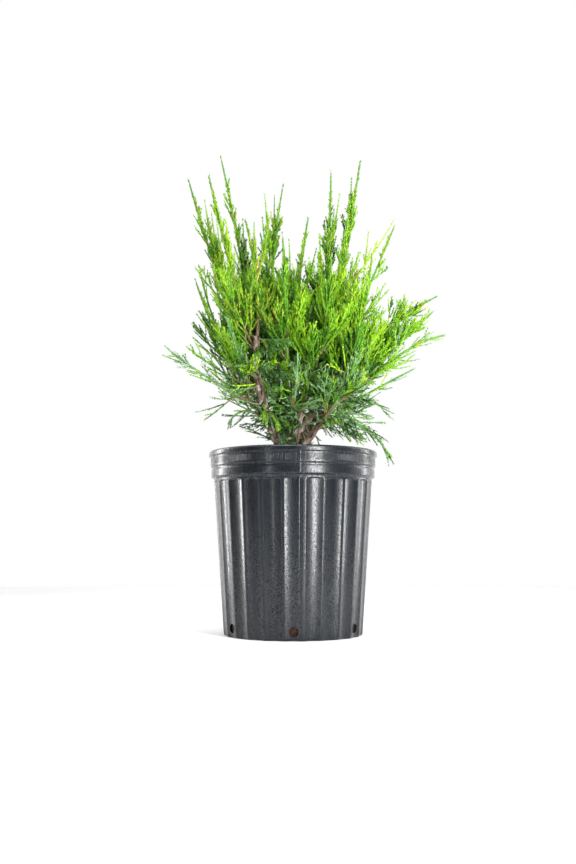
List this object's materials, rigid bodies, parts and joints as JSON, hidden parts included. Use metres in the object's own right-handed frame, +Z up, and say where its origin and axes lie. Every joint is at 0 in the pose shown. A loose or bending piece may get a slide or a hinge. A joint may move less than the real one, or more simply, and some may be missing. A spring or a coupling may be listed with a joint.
{
  "type": "potted juniper shrub",
  "caption": "Young juniper with upright feathery plumes of scale foliage, in a fluted black plastic nursery pot filled with potting mix.",
  "frame": {"origin": "middle of the pot's flat underside", "axes": "+Z up along the pot's axis, -Y towards the front of the plant"},
  "size_m": [0.2796, 0.2012, 0.4941],
  "materials": {
    "pot_plastic": "charcoal black moulded plastic, semi-gloss, fluted",
    "potting_mix": "loose dark bark potting mix with white specks",
    "bark": "rough grey-brown bark, peeling in strips",
    "scale_leaf": "fresh green scale foliage, satin"
  },
  "bodies": {
    "root": {"pot": "pot_plastic", "potting_mix": "potting_mix", "trunk": "bark", "bough_left": "bark", "bough_centre": "bark", "bough_centre_right": "bark", "bough_right_outer": "bark", "bough_right_inner": "bark", "bough_back_left": "bark", "bough_back_right": "bark", "foliage_left_whip": "scale_leaf", "foliage_left_middle": "scale_leaf", "foliage_left_tall": "scale_leaf", "foliage_centre_left_spire": "scale_leaf", "foliage_front_left_spire": "scale_leaf", "foliage_valley": "scale_leaf", "foliage_right_spire_inner": "scale_leaf", "foliage_right_spire_outer": "scale_leaf", "foliage_right_diagonal": "scale_leaf", "foliage_right_shoulder": "scale_leaf", "foliage_far_right_upper": "scale_leaf", "foliage_far_right_middle": "scale_leaf", "foliage_far_right_lower": "scale_leaf", "foliage_right_low": "scale_leaf", "foliage_right_droop": "scale_leaf", "foliage_left_low": "scale_leaf", "foliage_left_side": "scale_leaf", "foliage_left_side_back": "scale_leaf", "foliage_left_droop": "scale_leaf", "foliage_front_centre": "scale_leaf", "foliage_front_right": "scale_leaf", "foliage_front_low": "scale_leaf", "foliage_front_low_left": "scale_leaf", "foliage_front_low_right": "scale_leaf", "foliage_centre_low_left": "scale_leaf", "foliage_centre_low_right": "scale_leaf", "foliage_back_left": "scale_leaf", "foliage_back_right": "scale_leaf", "foliage_back_centre": "scale_leaf", "foliage_back_low_left": "scale_leaf", "foliage_back_low_right": "scale_leaf", "foliage_back_low": "scale_leaf"}
  },
  "joints": []
}
